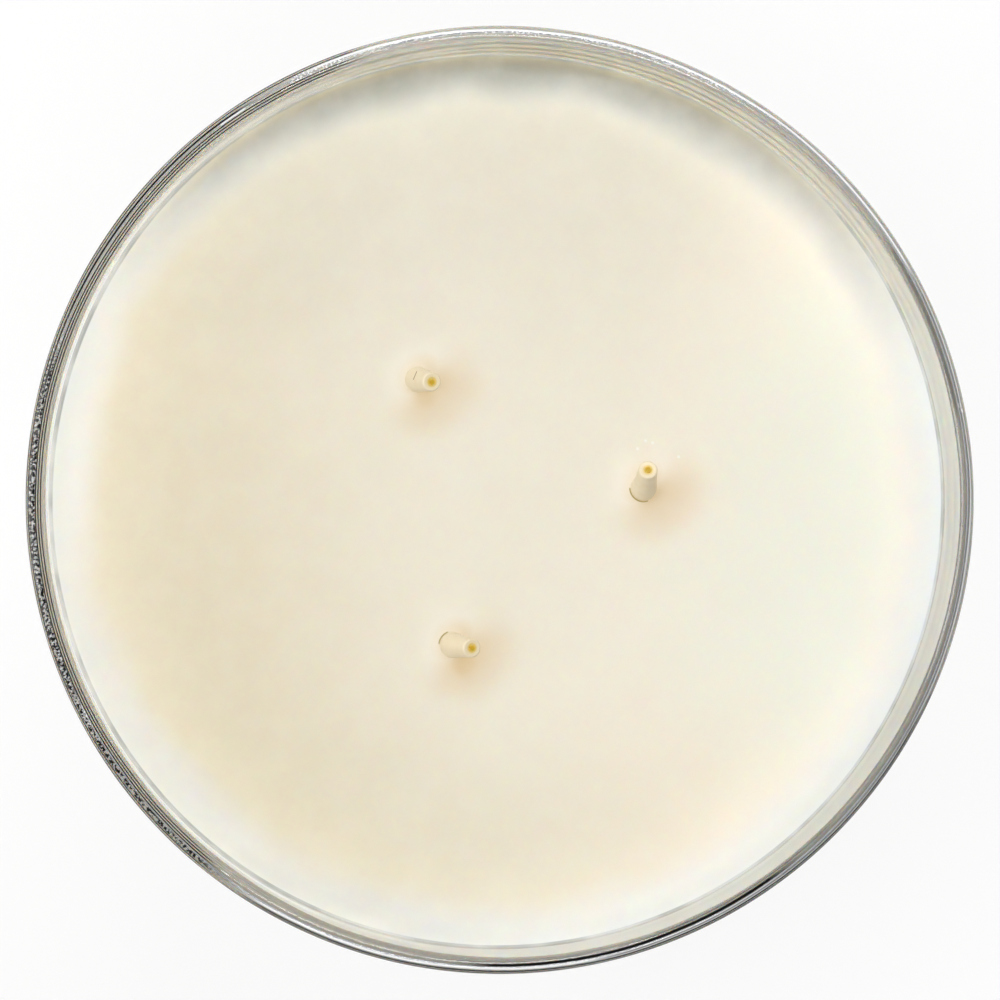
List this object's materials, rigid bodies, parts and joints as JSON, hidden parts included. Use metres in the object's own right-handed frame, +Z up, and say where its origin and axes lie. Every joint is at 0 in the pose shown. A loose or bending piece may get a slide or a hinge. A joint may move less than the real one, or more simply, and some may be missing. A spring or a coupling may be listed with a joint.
{
  "type": "scented candle",
  "caption": "Round clear glass tumbler with a heavy floor and a rounded lip, filled with cream wax, with short trimmed wicks that stand out of its surface.",
  "frame": {"origin": "middle of the foot, on the surface that the jar stands on", "axes": "+Z up along the jar's axis; +X to the right and +Y to the top of the picture"},
  "size_m": [0.102, 0.102, 0.089],
  "materials": {
    "clear_glass": "clear, fire-polished lip",
    "cream_wax": "smooth set wax, soft sheen, translucent",
    "wick_wax": "thin translucent wax over the braid",
    "cotton_braid": "waxed cotton braid",
    "wick_core": "amber core, waxed",
    "tin_plate": "bright tin-plated steel",
    "sticker_foam": "white foam with adhesive faces"
  },
  "bodies": {
    "root": {"glass_jar": "clear_glass", "wax_fill": "cream_wax", "wick_1_core": "wick_core", "wick_1_braid": "cotton_braid", "wick_1_wax_coat": "wick_wax", "wick_1_sustainer": "tin_plate", "wick_1_sticker": "sticker_foam", "wick_2_core": "wick_core", "wick_2_braid": "cotton_braid", "wick_2_wax_coat": "wick_wax", "wick_2_sustainer": "tin_plate", "wick_2_sticker": "sticker_foam", "wick_3_core": "wick_core", "wick_3_braid": "cotton_braid", "wick_3_wax_coat": "wick_wax", "wick_3_sustainer": "tin_plate", "wick_3_sticker": "sticker_foam"}
  },
  "joints": []
}
